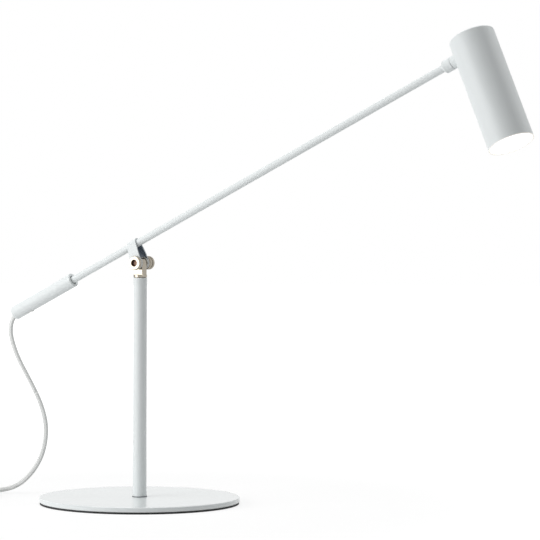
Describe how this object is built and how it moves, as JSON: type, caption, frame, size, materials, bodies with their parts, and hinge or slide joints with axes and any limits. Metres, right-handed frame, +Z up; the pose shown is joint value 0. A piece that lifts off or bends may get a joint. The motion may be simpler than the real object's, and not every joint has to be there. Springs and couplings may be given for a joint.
{
  "type": "balance desk lamp",
  "caption": "White desk lamp: round base, slim column, tilting arm through a friction pivot, rod counterweight at one end and a turning cylinder shade at the other.",
  "frame": {"origin": "centre of the base pad's underside, on the surface that the lamp stands on", "axes": "+Z up along the column, +X towards the shade along the arm seen from above, -Y the side of the pivot screw's knurled head"},
  "size_m": [0.7031, 0.2632, 0.4864],
  "materials": {
    "white_coat": "satin white powder coat",
    "white_coat_aluminium": "satin white powder coat on aluminium",
    "nickel": "bright nickel plate",
    "zinc_steel": "zinc plate",
    "black_foam": "matt black",
    "bearing_plastic": "natural, slightly waxy",
    "white_moulding": "fine grained white",
    "opal": "opal, lit from behind",
    "emitters": "yellow phosphor",
    "bare_aluminium": "turned",
    "black_moulding": "fine grained black",
    "lead_sheath": "soft white-grey sheath",
    "plated_brass": "nickel plate"
  },
  "bodies": {
    "base": {"base_pad": "black_foam", "base_plate": "white_coat", "base_screw": "zinc_steel", "column_ring": "black_foam", "column_tube": "white_coat", "column_foot_plug": "zinc_steel", "post_bush": "bearing_plastic", "lead_floor": "lead_sheath", "lead_coil": "lead_sheath", "coil_tie": "white_moulding", "lead_end": "lead_sheath", "plug_tail": "white_moulding", "plug_body": "white_moulding", "plug_pins": "plated_brass", "pin_sleeves": "black_moulding"},
    "post": {"pivot_post": "nickel", "post_clip": "zinc_steel", "lead_drop": "lead_sheath"},
    "arm": {"arm_saddle": "white_coat", "pivot_screw": "nickel", "friction_washers": "bearing_plastic", "nut_washer": "nickel", "pivot_nut": "nickel", "arm_tube": "white_coat", "counterweight": "white_coat", "lead_gland": "lead_sheath", "lead_tail": "lead_sheath", "switch_case": "white_moulding", "inner_cable": "lead_sheath", "arm_collar": "white_coat_aluminium", "swivel_nipple": "zinc_steel", "nipple_nut": "zinc_steel"},
    "rocker": {"switch_rocker": "white_moulding"},
    "head": {"head_collar": "white_coat_aluminium", "spigot_nut": "zinc_steel", "shade": "white_coat_aluminium", "diffuser": "opal", "reflector": "white_moulding", "light_board": "white_moulding", "light_chips": "emitters", "heat_sink": "bare_aluminium", "driver_can": "black_moulding", "driver_leads": "lead_sheath"}
  },
  "joints": [
    {"name": "post_swivel", "type": "hinge", "parent": "base", "child": "post", "pos_m": [0, 0, 0.2366], "axis": [0, 0, 1], "range_deg": [-90, 90], "deforming": ["lead_floor", "lead_drop"]},
    {"name": "arm_tilt", "type": "hinge", "parent": "post", "child": "arm", "pos_m": [0, 0, 0.2522], "axis": [0, -1, 0], "range_deg": [-45, 50], "deforming": ["lead_drop"]},
    {"name": "head_swivel", "type": "hinge", "parent": "arm", "child": "head", "pos_m": [0.39059, 0, 0.46346], "axis": [0.9003, 0, 0.4352], "range_deg": [-175, 175]},
    {"name": "switch_rock", "type": "hinge", "parent": "arm", "child": "rocker", "pos_m": [-0.14272, 0, 0.20048], "axis": [0, -1, 0], "range_deg": [0, 12]}
  ]
}
